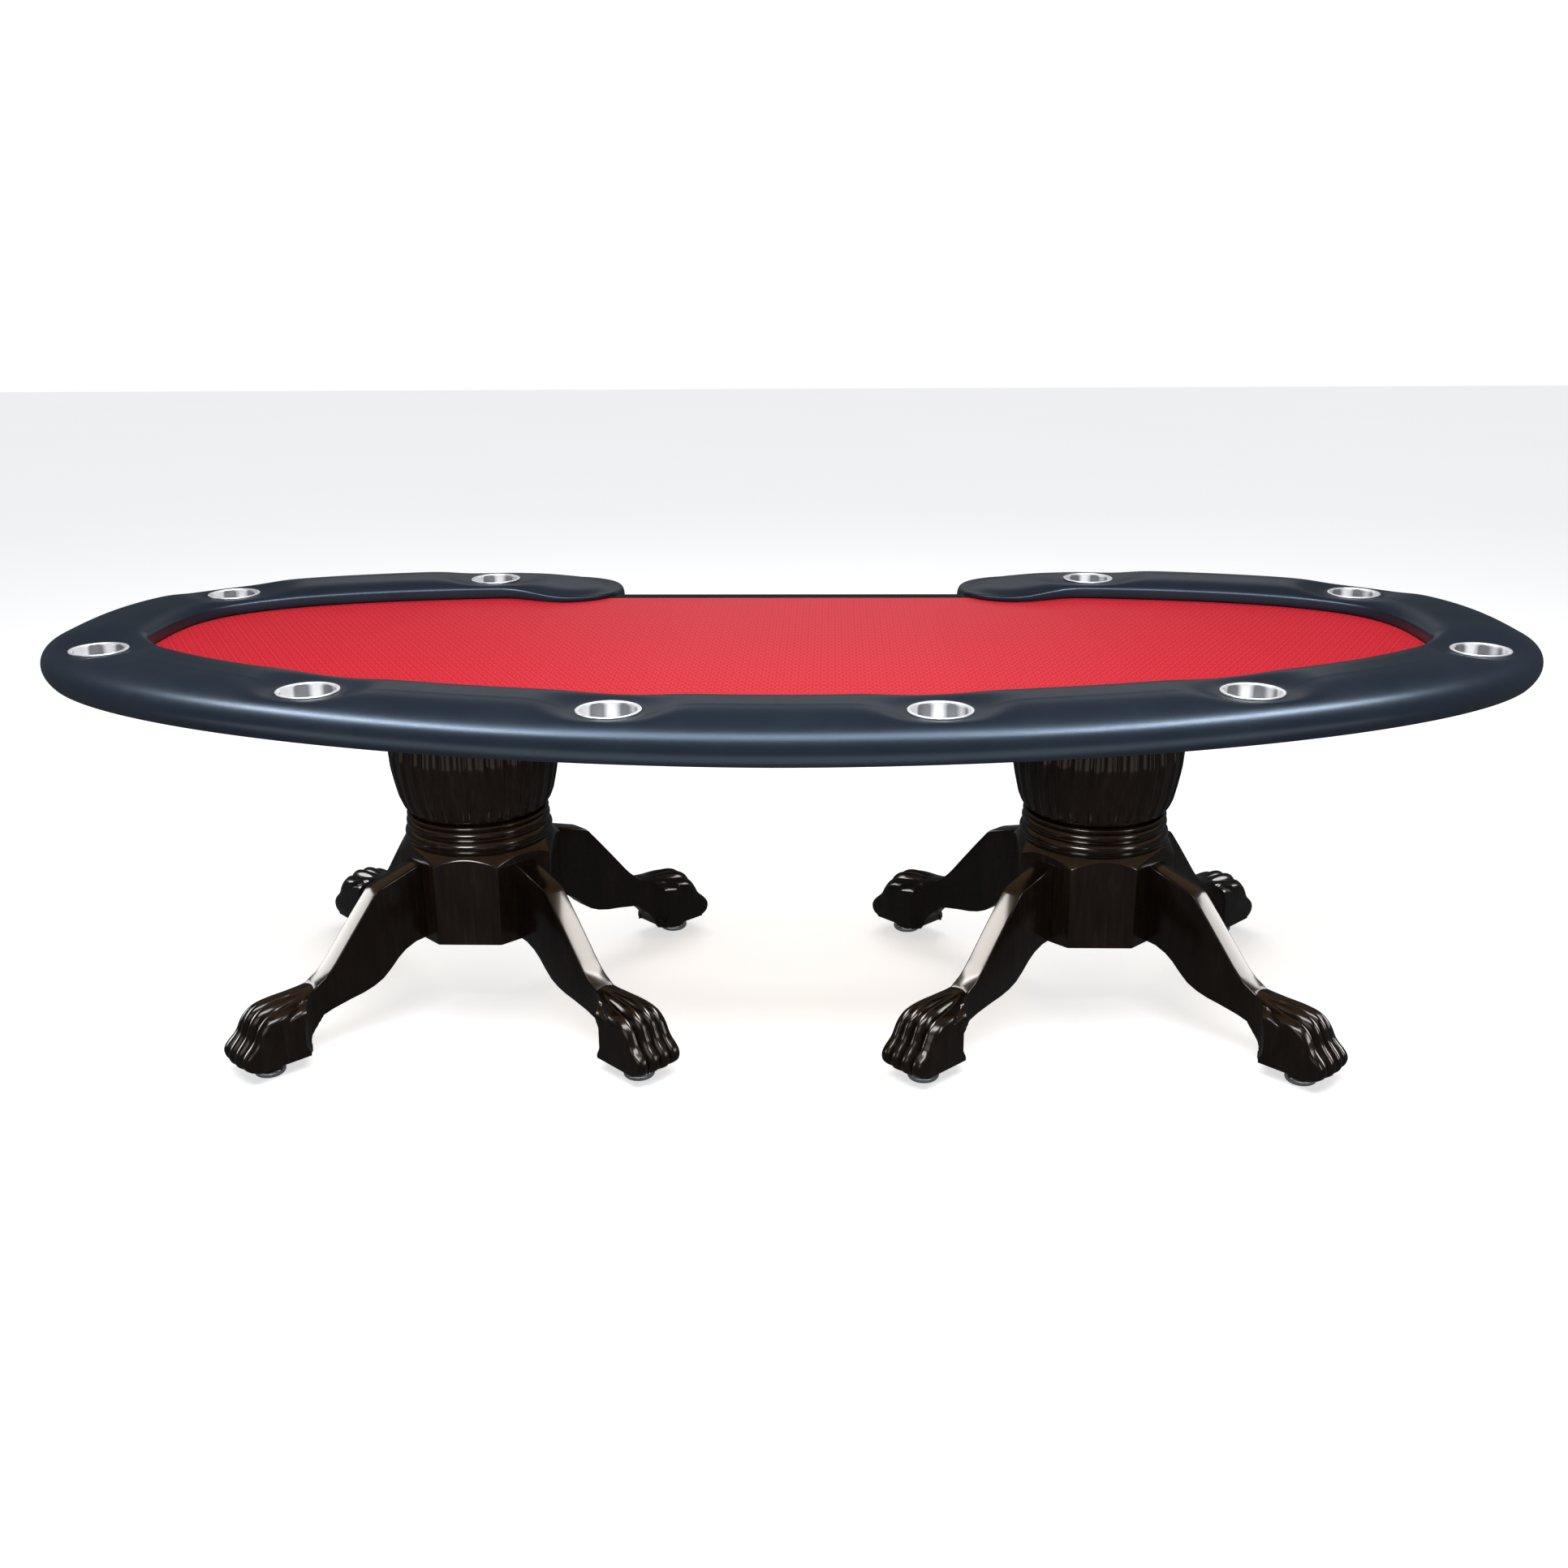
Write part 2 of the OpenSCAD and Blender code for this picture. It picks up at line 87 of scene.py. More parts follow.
def bevel(ob, width, segments=2, angle=28):
    m = ob.modifiers.new("bevel", "BEVEL")
    m.width, m.segments, m.limit_method = width, segments, "ANGLE"
    m.angle_limit = math.radians(angle)
    m.harden_normals = False
    bpy.context.view_layer.update()
    apply_modifiers(ob)


def grid_faces(rows, cols, wrap_rows=False, wrap_cols=False):
    out = []
    for i in range(rows if wrap_rows else rows - 1):
        for j in range(cols if wrap_cols else cols - 1):
            a, b = i * cols + j, i * cols + (j + 1) % cols
            c, d = ((i + 1) % rows) * cols + (j + 1) % cols, ((i + 1) % rows) * cols + j
            out.append((a, b, c, d))
    return out


def lathe(name, profile, steps=96, centre=(0, 0, 0), smooth=40):
    """A turned piece: profile is (radius, height) from one end to the other."""
    cx, cy, cz = centre
    verts = [(cx + r * math.cos(2 * math.pi * i / steps), cy + r * math.sin(2 * math.pi * i / steps), cz + z)
             for i in range(steps) for r, z in profile]
    return mesh_object(name, verts, grid_faces(steps, len(profile), wrap_rows=True), smooth)


def arc(cx, cz, r, a0, a1, n, rz=None):
    """Points on an arc, angles in degrees."""
    rz = r if rz is None else rz
    return [(cx + r * math.cos(math.radians(a0 + (a1 - a0) * i / n)),
             cz + rz * math.sin(math.radians(a0 + (a1 - a0) * i / n))) for i in range(n + 1)]


def smoothstep(t):
    t = np.clip(t, 0.0, 1.0)
    return t * t * (3 - 2 * t)


def middle(node):
    lo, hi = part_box(node)
    return (lo + hi) / 2


# ---------------------------------------------------------------- materials
def material(name, **sockets):
    m = bpy.data.materials.new(name)
    m.use_nodes = True
    nt = m.node_tree
    bsdf = nt.nodes["Principled BSDF"]
    for k, v in sockets.items():
        bsdf.inputs[k.replace("_", " ")].default_value = v
    return m, nt, bsdf


def node(nt, kind, **props):
    n = nt.nodes.new(kind)
    for k, v in props.items():
        if k in n.inputs:
            n.inputs[k].default_value = v
        else:
            setattr(n, k, v)
    return n


def link(nt, a, b):
    nt.links.new(a, b)


def coords(nt, scale=(1, 1, 1), rotation=(0, 0, 0)):
    c = node(nt, "ShaderNodeTexCoord")
    m = node(nt, "ShaderNodeMapping")
    m.inputs["Scale"].default_value = scale
    m.inputs["Rotation"].default_value = rotation
    link(nt, c.outputs["Object"], m.inputs["Vector"])
    return m.outputs["Vector"]


def noise(nt, vector, scale, detail=3.0, rough=0.5):
    n = node(nt, "ShaderNodeTexNoise")
    n.inputs["Scale"].default_value = scale
    n.inputs["Detail"].default_value = detail
    n.inputs["Roughness"].default_value = rough
    link(nt, vector, n.inputs["Vector"])
    return n.outputs["Fac"]


def ramp(nt, fac, stops):
    r = node(nt, "ShaderNodeValToRGB")
    els = r.color_ramp.elements
    while len(els) > 1:
        els.remove(els[-1])
    for i, (p, c) in enumerate(stops):
        e = els[0] if i == 0 else els.new(p)
        e.position = p
        e.color = (*c, 1) if len(c) == 3 else c
    link(nt, fac, r.inputs["Fac"])
    return r.outputs["Color"]


def maths(nt, op, a, b=None, c=None):
    m = node(nt, "ShaderNodeMath", operation=op)
    for i, v in enumerate((a, b, c)):
        if v is None:
            continue
        if isinstance(v, (int, float)):
            m.inputs[i].default_value = v
        else:
            link(nt, v, m.inputs[i])
    return m.outputs[0]


def remap(nt, fac, lo, hi):
    m = node(nt, "ShaderNodeMapRange")
    m.inputs["To Min"].default_value, m.inputs["To Max"].default_value = lo, hi
    link(nt, fac, m.inputs["Value"])
    return m.outputs["Result"]


def bump(nt, bsdf, height, distance, strength=1.0):
    b = node(nt, "ShaderNodeBump")
    b.inputs["Distance"].default_value = distance
    b.inputs["Strength"].default_value = strength
    link(nt, height, b.inputs["Height"])
    link(nt, b.outputs["Normal"], bsdf.inputs["Normal"])


def vinyl_material():
    m, nt, b = material("rail_vinyl_satin", Specular_IOR_Level=0.45)
    b.inputs["Specular Tint"].default_value = (0.58, 0.76, 1.0, 1)
    v = coords(nt)
    big = noise(nt, v, 7.0, 3.0)
    grain = node(nt, "ShaderNodeTexVoronoi", feature="F1", distance="EUCLIDEAN")
    grain.inputs["Scale"].default_value = 520.0
    link(nt, v, grain.inputs["Vector"])
    fine = noise(nt, v, 1300.0, 2.0)
    link(nt, ramp(nt, big, [(0.3, (0.0040, 0.0058, 0.0092)), (0.7, (0.0058, 0.0080, 0.0122))]),
         b.inputs["Base Color"])
    link(nt, remap(nt, noise(nt, v, 34.0, 4.0), 0.30, 0.37), b.inputs["Roughness"])
    h = maths(nt, "MULTIPLY_ADD", fine, 0.45, grain.outputs["Distance"])
    bump(nt, b, h, 0.00014, 0.30)
    return m


def cloth_material():
    """Crimson speed cloth: plain weave with a tone-on-tone lattice of lozenges."""
    m, nt, b = material("speed_cloth_crimson", Specular_IOR_Level=0.2, Sheen_Weight=0.02,
                        Sheen_Roughness=0.45)
    b.inputs["Sheen Tint"].default_value = (1.0, 0.62, 0.66, 1)
    v = coords(nt)
    sep = node(nt, "ShaderNodeSeparateXYZ")
    link(nt, v, sep.inputs[0])
    x, y = sep.outputs["X"], sep.outputs["Y"]
    wide, deep = 0.025, 0.048
    # two families of crossing lines make the lattice
    x, y = maths(nt, "MULTIPLY", x, 1 / wide), maths(nt, "MULTIPLY", y, 1 / deep)
    p, q = maths(nt, "ADD", x, y), maths(nt, "SUBTRACT", x, y)
    fp = maths(nt, "ABSOLUTE", maths(nt, "SUBTRACT", maths(nt, "FRACT", p), 0.5))
    fq = maths(nt, "ABSOLUTE", maths(nt, "SUBTRACT", maths(nt, "FRACT", q), 0.5))
    line = maths(nt, "GREATER_THAN", maths(nt, "MAXIMUM", fp, fq), 0.425)
    # a small lozenge in every cell, with a darker heart
    dist = maths(nt, "ADD", fp, fq)
    lozenge = maths(nt, "LESS_THAN", dist, 0.36)
    heart = maths(nt, "LESS_THAN", dist, 0.15)
    mark = maths(nt, "SUBTRACT", maths(nt, "MAXIMUM", line, lozenge), heart)
    threads = noise(nt, coords(nt, (60, 900, 1)), 1.0, 2.0)
    weft = noise(nt, coords(nt, (900, 60, 1)), 1.0, 2.0)
    weave = maths(nt, "ADD", threads, weft)
    slub = noise(nt, coords(nt, (1, 8, 1)), 40.0, 3.0)
    tone = maths(nt, "ADD", maths(nt, "MULTIPLY", mark, 0.60), maths(nt, "MULTIPLY", slub, 0.32))
    col = ramp(nt, tone, [(0.0, (0.45, 0.0016, 0.008)), (0.5, (0.57, 0.0036, 0.016)),
                          (1.0, (0.77, 0.0150, 0.042))])
    link(nt, col, b.inputs["Base Color"])
    link(nt, remap(nt, slub, 0.62, 0.80), b.inputs["Roughness"])
    h = maths(nt, "ADD", maths(nt, "MULTIPLY", weave, 0.35), maths(nt, "MULTIPLY", mark, 0.5))
    bump(nt, b, h, 0.00015, 0.4)
    return m


def espresso_material():
    m, nt, b = material("espresso_lacquer", Specular_IOR_Level=0.5)
    b.inputs["Specular Tint"].default_value = (1.0, 0.94, 0.88, 1)
    v = coords(nt, (1.0, 1.0, 0.10))
    grain = noise(nt, v, 160.0, 6.0, 0.62)
    wide = noise(nt, coords(nt, (1, 1, 0.25)), 22.0, 3.0)
    mix = maths(nt, "ADD", maths(nt, "MULTIPLY", grain, 0.65), maths(nt, "MULTIPLY", wide, 0.35))
    link(nt, ramp(nt, mix, [(0.30, (0.0016, 0.0009, 0.0006)), (0.55, (0.0050, 0.0028, 0.0018)),
                            (0.75, (0.0130, 0.0070, 0.0042))]), b.inputs["Base Color"])
    link(nt, remap(nt, wide, 0.15, 0.20), b.inputs["Roughness"])
    bump(nt, b, wide, 0.0003, 0.03)
    return m


def steel_painted_reflections_material():
    """Drawn stainless steel with painted reflections: soft upright stripes of painted reflection in the base
    colour round the wall, fine drawing lines over them, and a painted highlight on the faces that point up or
    down.
    """
    m, nt, b = material("cup_stainless_painted_reflections", Metallic=0.70, Specular_IOR_Level=0.5)
    lines = noise(nt, coords(nt, (1, 1, 0.05)), 700.0, 3.0, 0.6)
    # painted reflections: wide noise, stretched long and upright, gives soft light and dark stripes round the
    # wall in the base colour
    painted_reflection_noise = noise(nt, coords(nt, (1, 1, 0.005)), 42.0, 0.0, 0.5)
    facing = node(nt, "ShaderNodeSeparateXYZ")
    link(nt, node(nt, "ShaderNodeNewGeometry").outputs["Normal"], facing.inputs[0])
    # painted highlight: faces that point up or down, the lip's top and the cup's floor, are made lighter in
    # the base colour
    lip = maths(nt, "MULTIPLY", maths(nt, "ABSOLUTE", facing.outputs["Z"]), 0.5)
    painted_reflections_and_lines = maths(nt, "ADD", maths(nt, "MULTIPLY", lines, 0.04), maths(nt, "MULTIPLY", painted_reflection_noise, 0.96))
    mix = maths(nt, "ADD", painted_reflections_and_lines, lip)
    # the ramp turns the painted reflection stripes, the drawing lines and the painted lip highlight into dark
    # grey to near-white steel
    link(nt, ramp(nt, mix, [(0.34, (0.20, 0.205, 0.22)), (0.41, (0.62, 0.63, 0.65)),
                            (0.48, (0.97, 0.97, 0.98))]),
         b.inputs["Base Color"])
    link(nt, remap(nt, lines, 0.28, 0.36), b.inputs["Roughness"])
    bump(nt, b, lines, 0.00002, 0.06)
    return m


def chrome_material():
    m, nt, b = material("bright_chrome", Metallic=1.0)
    v = coords(nt)
    link(nt, ramp(nt, noise(nt, v, 40.0), [(0.3, (0.80, 0.80, 0.81)), (0.7, (0.92, 0.92, 0.93))]),
         b.inputs["Base Color"])
    link(nt, remap(nt, noise(nt, v, 260.0, 4.0), 0.05, 0.13), b.inputs["Roughness"])
    bump(nt, b, noise(nt, v, 320.0, 3.0), 0.00004, 0.15)
    return m


def zinc_material():
    m, nt, b = material("zinc_plate", Metallic=1.0)
    v = coords(nt)
    n = noise(nt, v, 300.0, 5.0)
    link(nt, ramp(nt, n, [(0.3, (0.42, 0.43, 0.44)), (0.7, (0.60, 0.61, 0.60))]), b.inputs["Base Color"])
    link(nt, remap(nt, n, 0.28, 0.46), b.inputs["Roughness"])
    bump(nt, b, n, 0.00006, 0.3)
    return m


def trim_material():
    m, nt, b = material("black_edge_strip", Specular_IOR_Level=0.5)
    v = coords(nt, (0.15, 1, 1))
    n = noise(nt, v, 420.0, 4.0)
    link(nt, ramp(nt, n, [(0.3, (0.006, 0.006, 0.008)), (0.7, (0.013, 0.013, 0.016))]),
         b.inputs["Base Color"])
    link(nt, remap(nt, n, 0.26, 0.38), b.inputs["Roughness"])
    bump(nt, b, n, 0.00008, 0.25)
    return m


def plywood_material():
    """Birch plywood: faint long grain on the faces, thin ply lines on the edges."""
    m, nt, b = material("birch_plywood", Specular_IOR_Level=0.3)
    face = noise(nt, coords(nt, (0.5, 9, 1)), 24.0, 6.0, 0.6)
    plies = node(nt, "ShaderNodeTexWave", wave_type="BANDS", bands_direction="Z")
    plies.inputs["Scale"].default_value = 150.0
    plies.inputs["Distortion"].default_value = 0.3
    link(nt, coords(nt), plies.inputs["Vector"])
    mix = maths(nt, "ADD", maths(nt, "MULTIPLY", face, 0.75),
                maths(nt, "MULTIPLY", plies.outputs["Fac"], 0.22))
    link(nt, ramp(nt, mix, [(0.25, (0.32, 0.20, 0.105)), (0.7, (0.56, 0.40, 0.235))]), b.inputs["Base Color"])
    link(nt, remap(nt, face, 0.55, 0.72), b.inputs["Roughness"])
    bump(nt, b, face, 0.0003, 0.3)
    return m


def foam_material():
    m, nt, b = material("upholstery_foam", Specular_IOR_Level=0.15)
    v = coords(nt)
    cells = node(nt, "ShaderNodeTexVoronoi", feature="F1")
    cells.inputs["Scale"].default_value = 900.0
    link(nt, v, cells.inputs["Vector"])
    link(nt, ramp(nt, noise(nt, v, 60.0), [(0.3, (0.62, 0.58, 0.42)), (0.7, (0.74, 0.71, 0.56))]),
         b.inputs["Base Color"])
    link(nt, remap(nt, cells.outputs["Distance"], 0.8, 0.98), b.inputs["Roughness"])
    bump(nt, b, cells.outputs["Distance"], 0.0006, 0.5)
    return m


VINYL, CLOTH, ESPRESSO = vinyl_material(), cloth_material(), espresso_material()
STEEL_PAINTED_REFLECTIONS, CHROME, ZINC = steel_painted_reflections_material(), chrome_material(), zinc_material()
TRIM, PLYWOOD, FOAM = trim_material(), plywood_material(), foam_material()


def finish_piece(ob, mat, body, slot, *replaced):
    ob.data.materials.clear()
    ob.data.materials.append(mat)
    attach(ob, body)
    if replaced:
        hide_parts(*replaced)


def paint_node(name, mat):
    ob = nodes[name]
    if not ob.material_slots:
        ob.data.materials.append(mat)
    for s in ob.material_slots:
        s.link = "OBJECT"
        s.material = mat


for n in nodes:
    if n in ("table_deck", "playfield_board", "rail_board"):
        paint_node(n, PLYWOOD)
    elif n == "playfield_foam":
        paint_node(n, FOAM)
    elif n == "dealer_edge_trim":
        paint_node(n, TRIM)
    elif n.startswith("top_plate"):
        paint_node(n, ESPRESSO)
    elif n.startswith(("rail_bolts", "rail_t_nuts", "tie_rod", "plate_screws", "leg_bolts", "foot_inserts")):
        paint_node(n, ZINC)

# ---------------------------------------------------------------- the tabletop's plan curves
rail_lo, rail_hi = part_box("rail_vinyl")
cloth_lo, cloth_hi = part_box("playfield_cloth")
RAIL_W = 0.184  # width of the padded rail
HALF_LENGTH = rail_hi.x - RAIL_W / 2
FRONT_DEPTH = -rail_lo.y - RAIL_W / 2
BACK_DEPTH = 0.5335  # half depth of the rail's centre line on the dealer's side
FRONT_POWER, BACK_POWER = 1.8, 3.2
LOBE_X, LOBE_BULGE = 0.470, 0.050  # middle of each rounded rail end, and how far it swells
CUPS = [middle("cup_holder_%02d" % i) for i in range(1, 11)]
CUP_LIP_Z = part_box("cup_holder_01")[1].z


def rail_point(a):
    """(point on the rail's centre line, outward normal) at angle a in degrees."""
    c, s = math.cos(math.radians(a)), math.sin(math.radians(a))
    n, depth = (FRONT_POWER, FRONT_DEPTH) if s < 0 else (BACK_POWER, BACK_DEPTH)
    k = (abs(c) ** n + abs(s) ** n) ** (-1 / n)
    u, v = c * k, s * k
    g = Vector((math.copysign(abs(u) ** (n - 1), u) / HALF_LENGTH,
                math.copysign(abs(v) ** (n - 1), v) / depth))
    return Vector((HALF_LENGTH * u, depth * v)), g.normalized()


lobe_u = LOBE_X / HALF_LENGTH
LOBE_A = math.degrees(math.atan2((1 - lobe_u ** BACK_POWER) ** (1 / BACK_POWER), lobe_u))


def bulge(p):
    """How far the rail's inner side swells towards the players near the rounded ends."""
    return LOBE_BULGE * float(smoothstep((LOBE_X + 0.14 - abs(p.x)) / 0.14)) if p.y > 0 else 0.0


# ---------------------------------------------------------------- padded rail
CREST_Z = rail_hi.z + 0.0024
CLOTH_Z = cloth_hi.z
HEM_Z = rail_lo.z + 0.0024
BOARD_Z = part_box("rail_board")[1].z
BOARD_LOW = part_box("rail_board")[0].z
DECK_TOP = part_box("table_deck")[1].z
TRIM_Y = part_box("dealer_edge_trim")[1].y
PUFF = 0.0006  # how far the cover's middle stands over its shoulders
SEAT_Z = CUP_LIP_Z - 0.0026
SHOULDER = 0.084
INNER_SHOULDER = 0.060
LOW_Z = 0.688


def outer_half(half):
    """Section of the cover from its hem to its middle, as (inset from the edge, height)."""
    pts = [(0.0368, HEM_Z + 0.0010), (0.0180, HEM_Z)]
    for i in range(9):
        t = 1 - i / 8
        pts.append((0.0118 * t ** 2.0, LOW_Z - (LOW_Z - HEM_Z) * t))
    for i in range(1, 19):
        a = math.radians(90 * i / 18)
        inset = SHOULDER * (1 - math.cos(a) ** 0.92)
        pts.append((inset, LOW_Z + (CREST_Z - PUFF - LOW_Z) * math.sin(a) ** 0.92))
    for i in range(1, 7):
        f = i / 6
        pts.append((SHOULDER + (half - SHOULDER) * f, CREST_Z - PUFF * (1 - f)))
    return pts


def inner_half(half):
    """The same from the cloth to the middle."""
    pts = [(0.0012, BOARD_Z + 0.0002), (0.0009, BOARD_Z + 0.0003)]
    wall = ((0.0004, -0.0004), (-0.0008, 0.0006), (-0.0020, 0.0025), (-0.0026, 0.0055), (-0.0027, 0.0085),
            (-0.0026, 0.0110), (-0.0024, 0.0130), (-0.0022, 0.0150), (-0.0020, 0.0165))
    pts += [(e, CLOTH_Z + z) for e, z in wall]
    low = CLOTH_Z + 0.0165
    rise = CREST_Z - PUFF - low
    for i in range(1, 19):
        a = math.radians(90 * i / 18)
        inset = INNER_SHOULDER * (1 - math.cos(a) ** 0.95) - 0.0020 * math.cos(a)
        pts.append((inset, low + rise * math.sin(a) ** 0.95))
    for i in range(1, 7):
        f = i / 6
        pts.append((INNER_SHOULDER + (half - INNER_SHOULDER) * f, CREST_Z - PUFF * (1 - f)))
    return pts


def outer_return(half):
    """The cover's hidden face, from its turned-in hem, round the board's two layers, to the middle."""
    under, step, z = BOARD_LOW - 0.0002, DECK_TOP - 0.0004, BOARD_Z + 0.0006
    return [(0.0366, under), (0.0181, under), (0.0181, step), (0.0040, step), (0.0040, z), (half * 0.5, z),
            (half, z)]


def inner_return(half):
    """The same from the cloth's side."""
    z = BOARD_Z + 0.0001
    return [(0.0015, z), (0.0019, z), (0.0022, z), (0.0025, z), (0.0040, z), (half * 0.5, z), (half, z)]


def section(p, n, b):
    """Closed section of the cover across the rail at point p, with its inner side swelled by b."""
    half = (RAIL_W + b) / 2
    ring = [(p + n * (RAIL_W / 2 - e), z) for e, z in outer_half(half)]
    ring += [(p + n * (e - RAIL_W / 2 - b), z) for e, z in reversed(inner_half(half)[:-1])]
    ring += [(p + n * (e - RAIL_W / 2 - b), z) for e, z in inner_return(half)]
    ring += [(p + n * (RAIL_W / 2 - e), z) for e, z in reversed(outer_return(half)[:-1])]
    return [(q.x, q.y, z) for q, z in ring]


def cap_rows(sign, steps=56):
    """The rounded end: half sections turned about the end's centre, from the outside to the inside."""
    p, n = rail_point(LOBE_A)
    half = (RAIL_W + LOBE_BULGE) / 2
    c = p + n * (RAIL_W / 2 - half)
    a0 = math.atan2(n.y, n.x)
    rows = []
    for i in range(steps + 1):
        a = a0 + math.pi * i / steps
        y = c.y + half * math.sin(a)
        row = []
        for (e0, z0), (e1, z1) in zip(list(reversed(outer_return(half))) + outer_half(half),
                                      list(reversed(inner_return(half))) + inner_half(half)):
            high = float(smoothstep((z0 - CLOTH_Z - 0.001) / 0.020))
            turn_in = (TRIM_Y + 0.060 * high - y) / (0.040 + 0.120 * high)
            m = float(smoothstep(turn_in)) if i > steps / 2 else 0.0
            e, z = e0 + (e1 - e0) * m, z0 + (z1 - z0) * m
            row.append((sign * (c.x + (half - e) * math.cos(a)), c.y + (half - e) * math.sin(a), z))
        rows.append(row)
    return rows


def cup_pull(x, y, z):
    """The cover is pulled down to a flat seat round each cup holder."""
    down = np.zeros_like(z)
    for c in CUPS:
        r = np.hypot(x - c.x, y - c.y)
        w = np.exp(-(np.maximum(r - 0.0525, 0) / 0.043) ** 2)
        down = np.maximum(down, np.maximum(z - SEAT_Z, 0) * w)
    return z - down


def rail_cover():
    stations = 1150
    rows = []
    for i in range(stations + 1):
        a = 180 - LOBE_A + (180 + 2 * LOBE_A) * i / stations
        p, n = rail_point(a)
        rows.append(section(p, n, bulge(p)))
    cols = len(rows[0])
    verts = [v for r in rows for v in r]
    faces = grid_faces(len(rows), cols, wrap_cols=True)
    for sign in (-1, 1):
        cap = cap_rows(sign)
        base = len(verts)
        verts += [v for r in cap for v in r]
        faces += [tuple(base + k for k in f) for f in grid_faces(len(cap), len(cap[0]))]
    v = np.array(verts)
    top = v[:, 2] > SEAT_Z - 0.010
    v[top, 2] = cup_pull(v[top, 0], v[top, 1], v[top, 2])
    # the padding thins out towards the two rounded ends
    end = smoothstep((LOBE_X + 0.15 - np.abs(v[:, 0])) / 0.20) * (v[:, 1] > 0)
    v[:, 2] -= 0.017 * end * smoothstep((v[:, 2] - CLOTH_Z - 0.004) / 0.028)
    ob = mesh_object("rail_cover", v, faces)
    open_cup_holes(ob)
    return ob


def open_cup_holes(ob):
    """Cuts a round hole under each cup holder's lip and lines it down to the rail's board."""
    hole_r, low = 0.0464, BOARD_Z + 0.0006
    bm = bmesh.new()
    bm.from_mesh(ob.data)
    for c in CUPS:
        gone = [f for f in bm.faces if math.hypot(f.calc_center_median().x - c.x,
                                                  f.calc_center_median().y - c.y) < hole_r]
        bmesh.ops.delete(bm, geom=gone, context="FACES")
    loose = [v for v in bm.verts if not v.link_faces]
    bmesh.ops.delete(bm, geom=loose, context="VERTS")
    for c in CUPS:
        rim = [v for v in bm.verts if v.is_boundary and math.hypot(v.co.x - c.x, v.co.y - c.y) < 0.062]
        for v in rim:
            a = math.atan2(v.co.y - c.y, v.co.x - c.x)
            v.co.x, v.co.y = c.x + hole_r * math.cos(a), c.y + hole_r * math.sin(a)
        edges = [e for e in bm.edges if e.is_boundary and all(v in set(rim) for v in e.verts)
                 and e.verts[0].co.z > SEAT_Z - 0.012]
        new = bmesh.ops.extrude_edge_only(bm, edges=edges)["geom"]
        for v in new:
            if isinstance(v, bmesh.types.BMVert):
                v.co.z = low
    bmesh.ops.remove_doubles(bm, verts=bm.verts, dist=2e-5)
    bmesh.ops.recalc_face_normals(bm, faces=bm.faces)
    bm.to_mesh(ob.data)
    bm.free()
    ob.data.polygons.foreach_set("use_smooth", [True] * len(ob.data.polygons))
    ob.data.set_sharp_from_angle(angle=math.radians(50))
    ob.data.update()


cover = rail_cover()
finish_piece(cover, VINYL, "table", "rail_vinyl", "rail_vinyl", "rail_foam")


# ---------------------------------------------------------------- cloth
def cloth_edge(gap):
    """The cloth's outline, a little inside the rail and straight across at the dealer's side."""
    pts = []
    steps = 180
    for i in range(steps + 1):
        a = 270 + (LOBE_A + 90) * i / steps
        p, n = rail_point(a)
        pts.append(p - n * (RAIL_W / 2 + bulge(p) + gap))
    p, n = rail_point(LOBE_A)
    half = (RAIL_W + LOBE_BULGE) / 2
    c = p + n * (RAIL_W / 2 - half)
    a0 = math.atan2(n.y, n.x) + math.pi
    a1 = math.pi + math.asin((c.y - cloth_hi.y) / (half + gap))
    for i in range(1, 19):
        a = a0 + (a1 - a0) * i / 18
        pts.append(c + Vector((math.cos(a), math.sin(a))) * (half + gap))
    last = pts[-1]
    for i in range(1, 21):
        pts.append(Vector((last.x * (1 - i / 20), last.y)))
    right = [(q.x, q.y) for q in pts]
    return right + [(-x, y) for x, y in reversed(right[:-1])][:-1]


def play_cloth():
    edge = np.array(cloth_edge(0.001))
    top, low = cloth_hi.z, cloth_lo.z
    rings = [0.0] + [i / 30 for i in range(1, 30)] + [0.992, 0.9975, 1.0]
    verts, faces = [], []
    for f in rings:
        x, y = edge[:, 0] * f, edge[:, 1] * f
        ripple = 0.00012 * np.sin(9 * x + 2 * y) * np.sin(7 * y - 3 * x)
        drop = {1.0: 0.0012, 0.9975: 0.0003}.get(f, 0.0)
        verts += [(a, b, top - drop + (r if f < 0.99 else 0)) for a, b, r in zip(x, y, ripple)]
    cols = len(edge)
    verts += [(a, b, low + 0.0001) for a, b in edge]
    faces = grid_faces(len(rings) + 1, cols, wrap_cols=True)
    base = len(verts)
    verts += [(a * f, b * f, low + 0.0001) for f in (0.9, 0.5, 0.0) for a, b in edge]
    faces += [tuple(base - cols + k for k in f) for f in grid_faces(4, cols, wrap_cols=True)]
    return mesh_object("speed_cloth_top", verts, faces, 50), edge


cloth, cloth_plan = play_cloth()
finish_piece(cloth, CLOTH, "table", "speed_cloth", "playfield_cloth")


